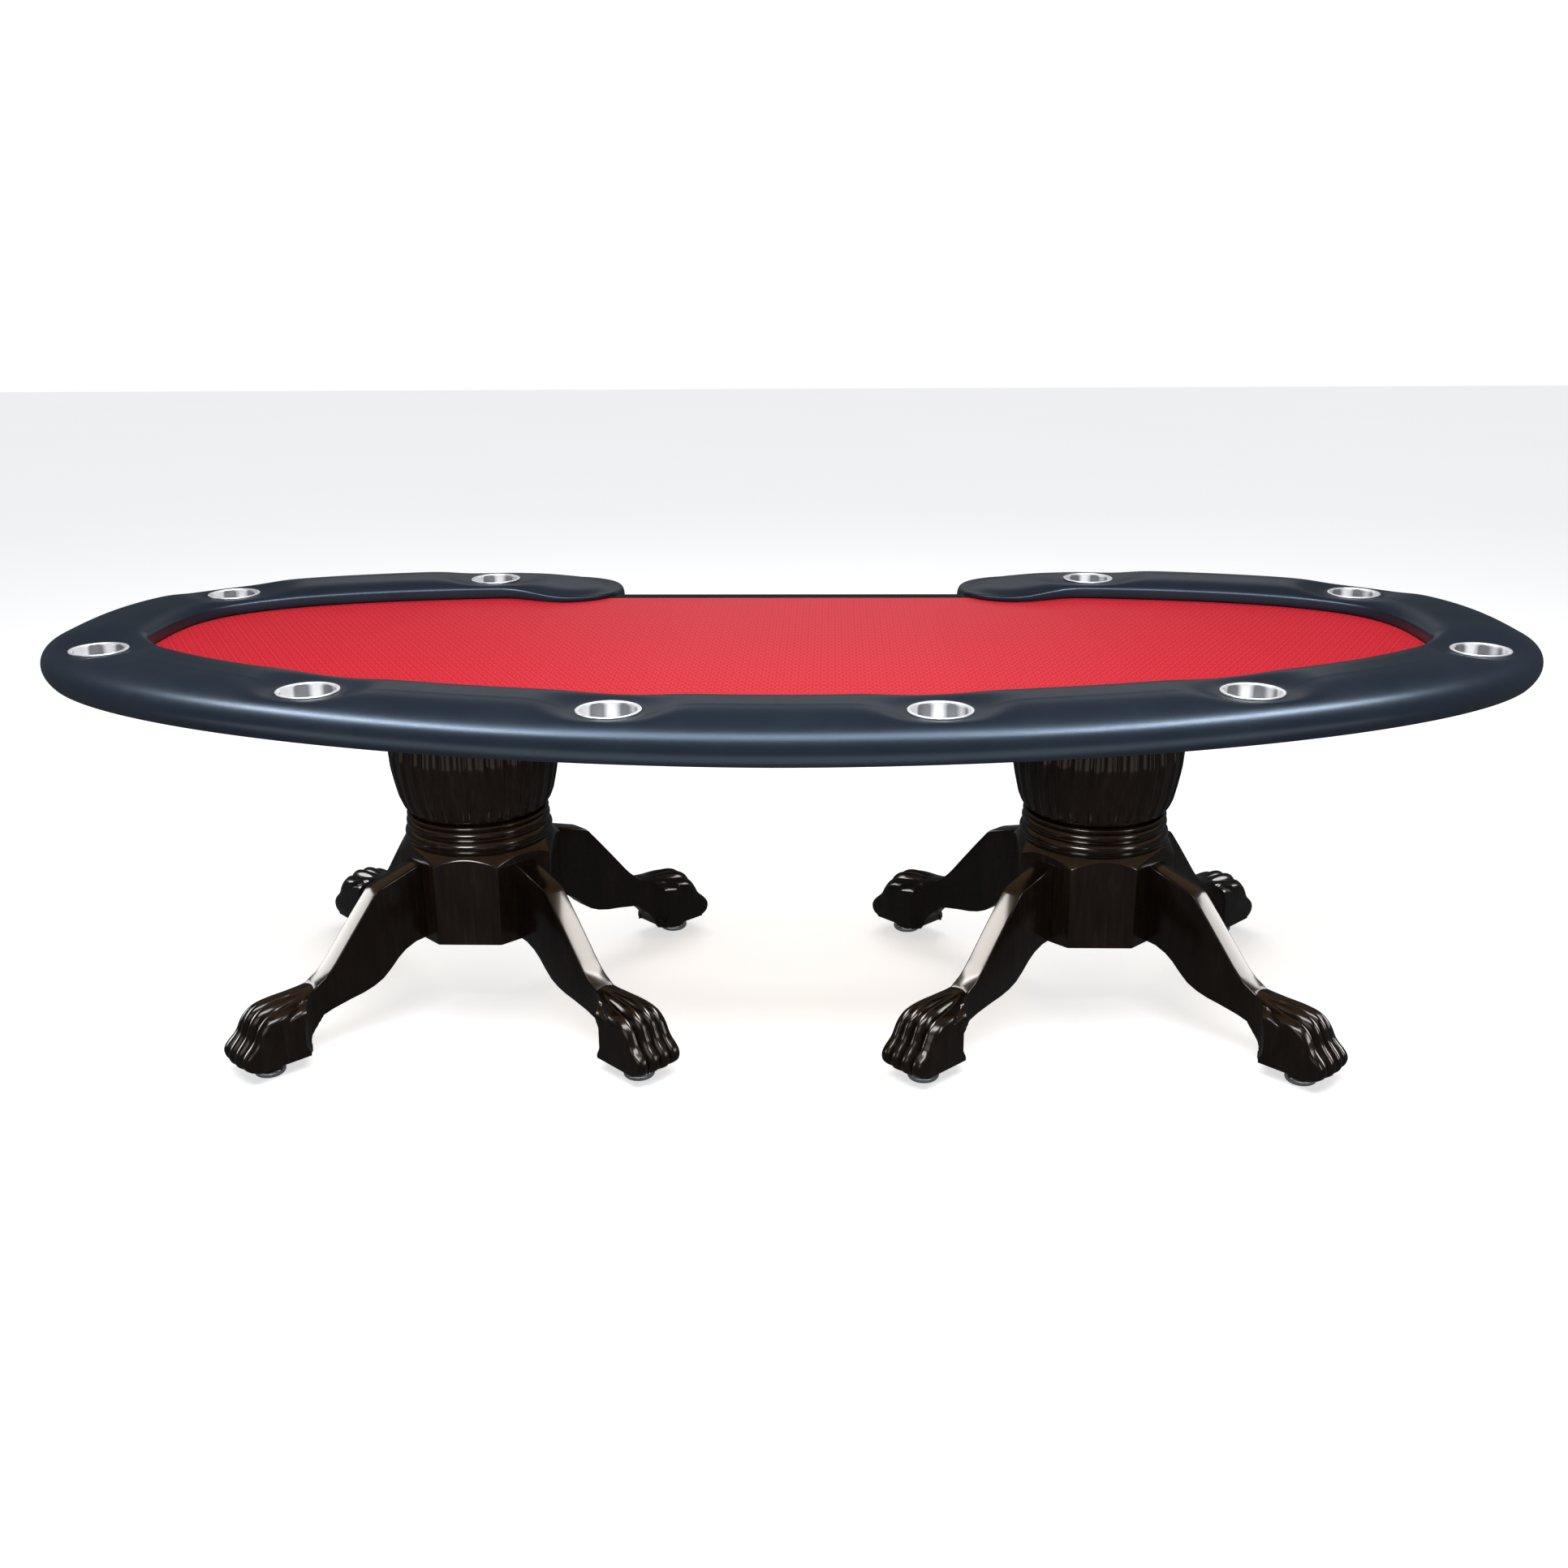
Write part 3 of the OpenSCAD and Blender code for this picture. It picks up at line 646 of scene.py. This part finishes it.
# ---------------------------------------------------------------- cup holders
def cup_profile():
    lo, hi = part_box("cup_holder_01")
    top, bottom = hi.z, lo.z
    lip_r, r, t = (hi.x - lo.x) / 2, 0.0456, 0.0007
    inner = [(0.0, bottom + t)] + [(f * 0.034, bottom + t) for f in (0.35, 0.7, 1.0)]
    inner += arc(r - t - 0.008, bottom + t + 0.008, 0.008, -90, 0, 8)
    inner += [(r - t, bottom + 0.012 + i * (top - bottom - 0.018) / 8) for i in range(1, 9)]
    inner += arc(r - t + 0.0022, top - 0.0026, 0.0022, 180, 90, 8, 0.0025)[1:]
    lip = arc(lip_r - 0.0013, top - 0.0014, 0.0013, 80, -90, 8)
    outer = [(r + 0.0005, top - 0.0026), (r, top - 0.0034), (r, bottom + 0.008)]
    outer += arc(r - 0.008, bottom + 0.008, 0.008, 0, -90, 6)[1:]
    return inner + lip + outer + [(0.0, bottom)]


cup_pieces = []
for i, c in enumerate(CUPS, 1):
    name = "cup_holder_%02d" % i
    cup = lathe("steel_cup_%02d" % i, cup_profile(), 120, (0, 0, 0), 60)
    cup.location = (c.x, c.y, 0)
    finish_piece(cup, STEEL_PAINTED_REFLECTIONS, name + "_body", "stainless", name)
    cup_pieces.append(cup)


# ---------------------------------------------------------------- pedestals
HUB_LO, HUB_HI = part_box("hub_left")
PEDESTAL_X = -(HUB_LO.x + HUB_HI.x) / 2
APOTHEM = (HUB_HI.x - HUB_LO.x) / 2
COLLAR_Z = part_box("collar_left")[0].z
URN_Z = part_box("urn_left")[0].z
URN_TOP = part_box("urn_left")[1].z
# (radius, height over the collar)
URN_CURVE = [(0.1190, 0.0), (0.1255, 0.0025), (0.1305, 0.0070), (0.1365, 0.0150), (0.1435, 0.0320),
             (0.1495, 0.0590), (0.1550, 0.0890), (0.1570, 0.1180), (0.1540, 0.1480), (0.1460, 0.1760),
             (0.1340, 0.2000), (0.1210, 0.2180), (0.1120, 0.2280)]
FLUTES = 28


def urn(name):
    """Turned and fluted body: each flute is a rounded groove with a pointed lower end."""
    zs = np.concatenate([np.linspace(0, 0.02, 14)[:-1], np.linspace(0.02, 0.222, 90)])
    rs = np.interp(zs, [p[1] for p in URN_CURVE], [p[0] for p in URN_CURVE])
    for _ in range(3):
        rs[1:-1] = (rs[:-2] + 2 * rs[1:-1] + rs[2:]) / 4
    steps = FLUTES * 26
    th = np.arange(steps) / steps * 2 * math.pi
    verts = []
    height = URN_TOP - URN_Z
    ends = [(rs[-1] - 0.001, height - 0.020), (0.124, height - 0.0165), (0.1295, height - 0.0130),
            (0.1320, height - 0.0080), (0.1320, height - 0.0010), (0.1310, height), (0.030, height)]
    phase = math.radians(-90 - 2.8)
    u = ((th - phase) / (2 * math.pi) * FLUTES + 0.5) % 1.0 - 0.5
    for z, r in zip(zs, rs):
        low = smoothstep((z - 0.0035) / 0.016)
        high = smoothstep((0.214 - z) / 0.012)
        width = 0.36 * math.sqrt(max(low * high, 0.0)) + 1e-6
        inside = np.clip(1 - (u / width) ** 2, 0, 1)
        groove = 0.0046 * inside ** 0.8 * low * high
        rim = 0.0007 * np.exp(-((np.abs(u) - width - 0.03) / 0.03) ** 2) * low * high
        rr = r - groove + rim
        verts += [(a, b, z) for a, b in zip(rr * np.cos(th), rr * np.sin(th))]
    for r, z in ends:
        verts += [(a, b, z) for a, b in zip(r * np.cos(th), r * np.sin(th))]
    rows = len(zs) + len(ends)
    verts += [(a, b, 0.0) for a, b in zip(0.030 * np.cos(th), 0.030 * np.sin(th))]
    faces = grid_faces(rows + 1, steps, wrap_cols=True)
    faces += [(rows * steps + (j + 1) % steps, rows * steps + j, j, (j + 1) % steps) for j in range(steps)]
    return mesh_object(name, [(p[0], p[1], p[2] + URN_Z) for p in verts], faces, 60)


def collar(name):
    """Turned rings: a thin bead over two fat rings, with narrow coves between."""
    pr = [(0.020, 0.0), (0.1345, 0.0), (0.1360, 0.0012), (0.1360, 0.0026), (0.1335, 0.0036)]
    pr += arc(0.1235, 0.0140, 0.0140, -50, 62, 16, 0.0115)
    pr += [(0.1285, 0.0248), (0.1280, 0.0262)]
    pr += arc(0.1225, 0.0350, 0.0115, -48, 55, 14, 0.0090)
    pr += [(0.1270, 0.0436), (0.1266, 0.0448)]
    pr += arc(0.1262, 0.0490, 0.0062, -62, 75, 12, 0.0042)
    pr += [(0.1235, 0.0530), (0.020, 0.0530)]
    pr.append(pr[0])
    return lathe(name, [(r, COLLAR_Z + z) for r, z in pr], 160, (0, 0, 0), 50)


def hub(name):
    """Eight-sided block whose top is turned to a cone, so that each face ends in an arch."""
    cone_r0, cone_z0, cone_r1, cone_z1 = APOTHEM / math.cos(math.pi / 8), COLLAR_Z - 0.020, 0.136, COLLAR_Z
    per = 14
    ang, rad = [], []
    for k in range(8):
        for i in range(per):
            a = math.radians(-22.5 + 45 * k) + math.radians(45) * i / per
            ang.append(a)
            local = a - math.radians(45 * k)
            rad.append(APOTHEM / math.cos(local))
    ang, rad = np.array(ang), np.array(rad)
    top_z = cone_z0 + (cone_r0 - rad) / (cone_r0 - cone_r1) * (cone_z1 - cone_z0)
    verts = []
    for f, z in ((0.0, HUB_LO.z), (0.6, HUB_LO.z), (1.0, HUB_LO.z)):
        verts += [(r * f * math.cos(a), r * f * math.sin(a), z) for a, r in zip(ang, rad)]
    for f in (0.35, 0.7, 1.0):
        verts += [(r * math.cos(a), r * math.sin(a), HUB_LO.z + (t - HUB_LO.z) * f)
                  for a, r, t in zip(ang, rad, top_z)]
    verts += [(cone_r1 * math.cos(a), cone_r1 * math.sin(a), cone_z1) for a in ang]
    verts += [(0.0, 0.0, cone_z1) for a in ang]
    cols = len(ang)
    ob = mesh_object(name, verts, grid_faces(8, cols, wrap_cols=True))
    bevel(ob, 0.0022, 3, 24)
    tidy(ob, 40)
    return ob


# sawn outline of the leg, from the hub round the top to the foot and back underneath
LEG_OUTLINE = [(0.1405, 0.3180), (0.2255, 0.2915), (0.2342, 0.2875), (0.2410, 0.2815), (0.2701, 0.2480),
              (0.2986, 0.2140), (0.3284, 0.1780), (0.3408, 0.1645), (0.3532, 0.1535), (0.3668, 0.1455),
              (0.3780, 0.1385), (0.3960, 0.1220), (0.3960, 0.0700), (0.3780, 0.0780), (0.3643, 0.0830),
              (0.3445, 0.0890), (0.3271, 0.0925), (0.3061, 0.0965), (0.2801, 0.1005), (0.2577, 0.1065),
              (0.2379, 0.1155), (0.2200, 0.1300), (0.2030, 0.1465), (0.1870, 0.1580), (0.1650, 0.1670),
              (0.1405, 0.1700)]
LEG_T, FOOT_W, TOES = 0.040, 0.095, 4
# outline of the foot from the ankle over the knuckles to the toe tips
FOOT_TOP = [(0.3618, 0.1400), (0.3740, 0.1425), (0.3880, 0.1405), (0.4030, 0.1385), (0.4230, 0.1380),
            (0.4430, 0.1375), (0.4630, 0.1350), (0.4780, 0.1300), (0.4900, 0.1215), (0.4985, 0.1100),
            (0.5035, 0.0980), (0.5080, 0.0880), (0.5150, 0.0790), (0.5235, 0.0705), (0.5305, 0.0610),
            (0.5335, 0.0510), (0.5315, 0.0410), (0.5255, 0.0340), (0.5170, 0.0305)]
FOOT_Z = 0.030


def resample(points, n):
    p = np.array(points)
    for _ in range(2):
        q = np.empty((2 * len(p) - 2, 2))
        q[0::2], q[1::2] = 0.75 * p[:-1] + 0.25 * p[1:], 0.25 * p[:-1] + 0.75 * p[1:]
        p = np.vstack([p[:1], q, p[-1:]])
    d = np.concatenate([[0], np.cumsum(np.linalg.norm(np.diff(p, axis=0), axis=1))])
    s = np.linspace(0, d[-1], n)
    return np.stack([np.interp(s, d, p[:, 0]), np.interp(s, d, p[:, 1])], 1)


def cove(y):
    """How far out from the pedestal the foot begins, at distance y from its middle."""
    c = LEG_T / 2
    if y <= c:
        return 0.374 - 3 * min(c - y, 0.004)
    r = 0.044
    return 0.374 + math.sqrt(max(r * r - (c + r - y) ** 2, 0))


def foot_slice(y, top, normal, n_wall=12, n_base=14):
    """Closed outline of the foot at distance y from its middle, signed."""
    half = FOOT_W / 2
    a = abs(y)
    s = np.linspace(0, 1, len(top))
    r, z = top[:, 0].copy(), top[:, 1].copy()
    spread = 0.50 + 0.50 * smoothstep((r - 0.373) / 0.085)
    u = np.clip(y / (half * spread), -1.02, 1.02) * TOES / 2 + TOES / 2
    c = 2 * (u - np.floor(u)) - 1
    toe = np.clip(np.floor(u), 0, TOES - 1)
    outer = ((toe == 0) & (c < 0)) | ((toe == TOES - 1) & (c > 0))
    depth = 0.0165 * smoothstep((r - 0.386) / 0.060) * smoothstep((1.0 - s) / 0.09)
    depth = np.where(z < 0.10, depth * 0.92, depth)
    groove = depth * (1 - np.sqrt(np.clip(1 - 0.90 * c * c, 0, 1)))
    groove = np.where(outer, 0.0, groove)
    edge = 0.0065
    q = half - a
    if q < edge:
        groove = groove + edge - math.sqrt(max(edge ** 2 - (edge - q) ** 2, 0))
    r = r - normal[:, 0] * groove
    z = z - normal[:, 1] * groove
    r = r - 0.007 * (a / half) ** 2 * smoothstep((r - 0.458) / 0.05)
    z = z - 0.0185 * (a / half) ** 2 * smoothstep((z - 0.045) / 0.085)
    z = np.maximum(z, FOOT_Z + 0.0004)
    wall = cove(a)
    # the ankle end is held out to the cove
    if a > LEG_T / 2 - 0.004:
        behind = r < wall
        zt = float(np.interp(wall, r[:len(r) // 2], z[:len(r) // 2]))
        r[behind], z[behind] = wall, zt
    z0 = z[0]
    base_r = np.linspace(r[-1] - 0.002, max(0.4035, wall), n_base)
    base = [(x, FOOT_Z) for x in base_r]
    heel = [(0.4000, 0.0330), (0.3970, 0.0380), (0.3945, 0.0450), (0.3910, 0.0520), (0.3840, 0.0610),
            (0.3760, 0.0690), (0.3680, 0.0755)]
    back = []
    for hx, hz in heel:
        back.append((max(hx, wall), hz))
    inner = []
    for i in range(n_wall):
        t = (i + 1) / (n_wall + 1)
        zz = back[-1][1] + (z0 - back[-1][1]) * t
        inner.append((min(wall, 0.368) if a < LEG_T / 2 - 0.004 else wall, zz))
    pts = list(zip(r, z)) + base + back + inner
    if a > LEG_T / 2:
        lip = 0.0075 * min(1.0, (a - LEG_T / 2) / 0.012)
        out = []
        for x, zz in pts:
            if abs(x - wall) < 1e-6:
                foot_lip = float(smoothstep((0.052 - zz) / 0.016))
                ankle_lip = 0.8 * float(smoothstep((zz - (z0 - 0.012)) / 0.010))
                x = x - lip * (foot_lip + ankle_lip)
            out.append((x, zz))
        pts = out
    return pts


def claw_foot():
    top = resample(FOOT_TOP, 84)
    tan = np.gradient(top, axis=0)
    normal = np.stack([-tan[:, 1], tan[:, 0]], 1)
    normal /= np.linalg.norm(normal, axis=1)[:, None]
    normal *= np.sign(normal[:1, 1])
    half = FOOT_W / 2
    edge = half - 0.007
    ys = np.concatenate([np.linspace(-half, -edge, 8)[:-1], np.linspace(-edge, edge, 92),
                         np.linspace(edge, half, 8)[1:]])
    loops = [foot_slice(float(y), top, normal) for y in ys]
    n = len(loops[0])
    verts = [(p[0], y, p[1]) for y, loop in zip(ys, loops) for p in loop]
    faces = grid_faces(len(ys), n, wrap_cols=True)
    faces.append(tuple(range(n)))
    faces.append(tuple((len(ys) - 1) * n + k for k in reversed(range(n))))
    return mesh_object("claw", verts, faces)


def leg_mesh():
    """One leg along +X from the pedestal's axis: sawn plank joined to its carved foot."""
    outline = LEG_OUTLINE
    n = len(outline)
    verts = [(r, s * LEG_T / 2, z) for s in (-1, 1) for r, z in outline]
    faces = [tuple(range(n)), tuple(n + k for k in reversed(range(n)))]
    faces += [(i, (i + 1) % n, n + (i + 1) % n, n + i) for i in range(n)]
    plank = mesh_object("plank", verts, faces)
    bevel(plank, 0.0028, 3, 50)
    tidy(plank)
    claw = claw_foot()
    m = plank.modifiers.new("join", "BOOLEAN")
    m.operation, m.solver, m.object = "UNION", "EXACT", claw
    bpy.context.view_layer.update()
    apply_modifiers(plank)
    bpy.data.objects.remove(claw)
    tidy(plank, 32, 2e-5)
    me = plank.data
    bpy.data.objects.remove(plank)
    return me


def glide_profile():
    lo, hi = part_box("leveller_left_fl")
    r = (hi.x - lo.x) / 2
    pr = [(0.0, 0.0), (r * 0.66, 0.0), (r * 0.78, 0.0006)]
    pr += arc(r - 0.0075, 0.0080, 0.0075, -62, 38, 10)
    pr += [(r * 0.895, 0.0146), (r * 0.80, 0.0176), (r * 0.68, 0.0200), (r * 0.54, 0.0218),
           (r * 0.40, 0.0230), (r * 0.34, 0.0238), (0.0052, 0.0240), (0.0048, 0.0244)]
    z = 0.0250
    while z < hi.z - 0.002:
        pr += [(0.0050, z), (0.0044, z + 0.00075)]
        z += 0.0015
    pr += [(0.0042, hi.z - 0.0005), (0.0, hi.z)]
    return pr


leg_data = leg_mesh()
glide = glide_profile()
column_pieces, leg_pieces, glide_pieces = [], [], []
for side in SIDES:
    axis = middle("hub_" + side)
    for make, part in ((urn, "urn"), (collar, "collar"), (hub, "hub")):
        ob = make("%s_%s_turned" % (part, side))
        ob.location = (axis.x, axis.y, 0)
        finish_piece(ob, ESPRESSO, "table", "espresso_wood", "%s_%s" % (part, side))
        column_pieces.append(ob)
    for leg, turn in LEGS.items():
        a = math.radians(turn)
        ob = bpy.data.objects.new("claw_leg_%s_%s" % (side, leg), leg_data)
        bpy.context.scene.collection.objects.link(ob)
        ob.location, ob.rotation_euler = (axis.x, axis.y, 0), (0, 0, a)
        finish_piece(ob, ESPRESSO, "table", "espresso_wood", "leg_%s_%s" % (side, leg))
        leg_pieces.append(ob)
        node_name = "leveller_%s_%s" % (side, leg)
        c = middle(node_name)
        gl = lathe("chrome_glide_%s_%s" % (side, leg), glide, 72, (0, 0, 0), 50)
        gl.location = (c.x, c.y, 0)
        finish_piece(gl, CHROME, node_name + "_body", "chrome_glide", node_name)
        glide_pieces.append(gl)

# ---------------------------------------------------------------- camera, floor and light
scene = bpy.context.scene
cam = bpy.data.cameras.new("camera")
cam.lens, cam.sensor_width = 37.44, 36.0
cam_ob = bpy.data.objects.new("camera", cam)
scene.collection.objects.link(cam_ob)
cam_ob.location = (0.0864, -2.8987, 1.3960)
turn = (Matrix.Rotation(math.radians(1.724), 3, "Z") @ Matrix.Rotation(math.radians(90 - 18.343), 3, "X")
        @ Matrix.Rotation(math.radians(-0.395), 3, "Z"))
cam_ob.rotation_euler = turn.to_euler()
scene.camera = cam_ob

floor = mesh_object("floor", [(-14, -14, 0), (14, -14, 0), (14, 14, 0), (-14, 14, 0)], [(0, 1, 2, 3)])
fm, fnt, fb = material("pale_floor", Specular_IOR_Level=0.2, Roughness=0.75)
fb.inputs["Emission Color"].default_value = (1, 1, 1, 1)
fb.inputs["Emission Strength"].default_value = 0.62
link(fnt, ramp(fnt, noise(fnt, coords(fnt), 0.6), [(0.2, (0.86, 0.86, 0.86)), (0.8, (0.90, 0.90, 0.90))]),
     fb.inputs["Base Color"])
floor.data.materials.append(fm)
floor.visible_glossy = False


def softbox(name, place, aim, size, power, colour=(1, 1, 1)):
    l = bpy.data.lights.new(name, "AREA")
    l.shape, l.size, l.size_y, l.energy, l.color = "RECTANGLE", size[0], size[1], power, colour
    ob = bpy.data.objects.new(name, l)
    scene.collection.objects.link(ob)
    ob.location = place
    ob.rotation_euler = (Vector(aim) - Vector(place)).to_track_quat("-Z", "Y").to_euler()
    return ob


softbox("overhead", (0, -1.85, 2.75), (0, -0.1, 0.7), (2.8, 0.8), 96)
softbox("back_fill", (0, 2.6, 3.2), (0, 0.2, 0.6), (3.0, 1.2), 45).visible_glossy = False


def light_for(name, pieces, *light):
    """A light that only shines on some of the pieces."""
    group = bpy.data.collections.new("lit_by_" + name)
    for piece in pieces:
        group.objects.link(piece)
    box = softbox(name, *light)
    box.visible_camera = False
    box.light_linking.receiver_collection = group
    return box


# light_for(name, pieces, place, aim, size, power, colour)
WARM = (1.0, 0.88, 0.76)
light_for("front_panel", glide_pieces + cup_pieces, (0, -2.45, 0.04), (0, -2.38, 1.0), (6.0, 1.3), 75)
light_for("rail_under", [cover], (0, -1.05, 0.04), (0, -1.0, 1.0), (4.6, 0.6), 13)
light_for("rail_back", [cover], (0, 3.2, 1.7), (0, -0.4, 0.73), (4.0, 0.7), 4.5)
light_for("rail_key", [cover], (0, -2.3, 2.4), (0, -0.55, 0.72), (2.6, 0.28), 15)
for side in (-1, 1):
    light_for("rail_key_%d" % (side > 0), [cover],
              (side * 2.6, -1.7, 3.1), (side * 0.85, -0.40, 0.72), (2.8, 0.26), 230)
    light_for("column_key_%d" % (side > 0), column_pieces,
              (side * 1.9, -1.5, 0.25), (side * 0.58, 0, 0.45), (0.9, 0.6), 1.0, WARM)
light_for("column_key_mid", column_pieces, (0, -1.6, 0.2), (0, 0, 0.45), (1.0, 0.5), 1.1, WARM)
light_for("cloth_glow", [cloth], (0, 3.0, 1.45), (0, 0.05, 0.7), (1.8, 0.6), 12)
light_for("cup_sky", cup_pieces, (0, -0.6, 2.8), (0, -0.3, 0.7), (3.4, 2.0), 105)
light_for("column_top", column_pieces, (-1.2, -3.2, 1.9), (-0.2, 0, 0.35), (1.3, 0.8), 135)
light_for("leg_key", leg_pieces, (-1.2, -3.2, 1.9), (-0.2, 0, 0.35), (2.2, 1.2), 14)
light_for("wood_rim", column_pieces + leg_pieces, (2.6, -1.8, 1.5), (0.2, 0, 0.35), (0.5, 1.2), 24)
# small lights under and beside the table, placed so that the upper faces of the front legs reflect them
for side in (-1, 1):
    for px in (-PEDESTAL_X, PEDESTAL_X):
        face = Vector((px + side * 0.201, -0.201, 0.230))
        normal = Vector((side * 0.544, -0.544, 0.639)).normalized()
        view = (cam_ob.location - face).normalized()
        ray = 2 * normal.dot(view) * normal - view
        far, size = (2.4, (1.5, 1.2)) if side * px > 0 else (0.55, (0.32, 0.26))
        glow = 11 if side * px > 0 else 17
        power = glow * size[0] * size[1] * math.pi
        name = "strip_%s_%d" % ("lr"[side > 0], px > 0)
        strip = light_for(name, leg_pieces, face + ray * far, face, size, power)
        strip.visible_diffuse = False

# the camera sees a white surround, and the table is lit and reflected in a dimmer one
world = bpy.data.worlds.new("studio")
world.use_nodes = True
wt = world.node_tree
bg = wt.nodes["Background"]
bg.inputs["Color"].default_value = (0.92, 0.96, 1.0, 1)
bg.inputs["Strength"].default_value = 0.30
path = node(wt, "ShaderNodeLightPath")
below = wt.nodes["World Output"].inputs["Surface"]
shader = bg
surrounds = (("Is Glossy Ray", (0.85, 0.93, 1.0, 1), 0.09), ("Is Camera Ray", (1, 1, 1, 1), 1.0))
for ray_kind, tone, strength in surrounds:
    other = node(wt, "ShaderNodeBackground")
    other.inputs["Color"].default_value = tone
    other.inputs["Strength"].default_value = strength
    mix = node(wt, "ShaderNodeMixShader")
    link(wt, path.outputs[ray_kind], mix.inputs[0])
    link(wt, shader.outputs[0], mix.inputs[1])
    link(wt, other.outputs[0], mix.inputs[2])
    shader = mix
link(wt, shader.outputs[0], below)
scene.world = world
scene.view_settings.view_transform = "Standard"
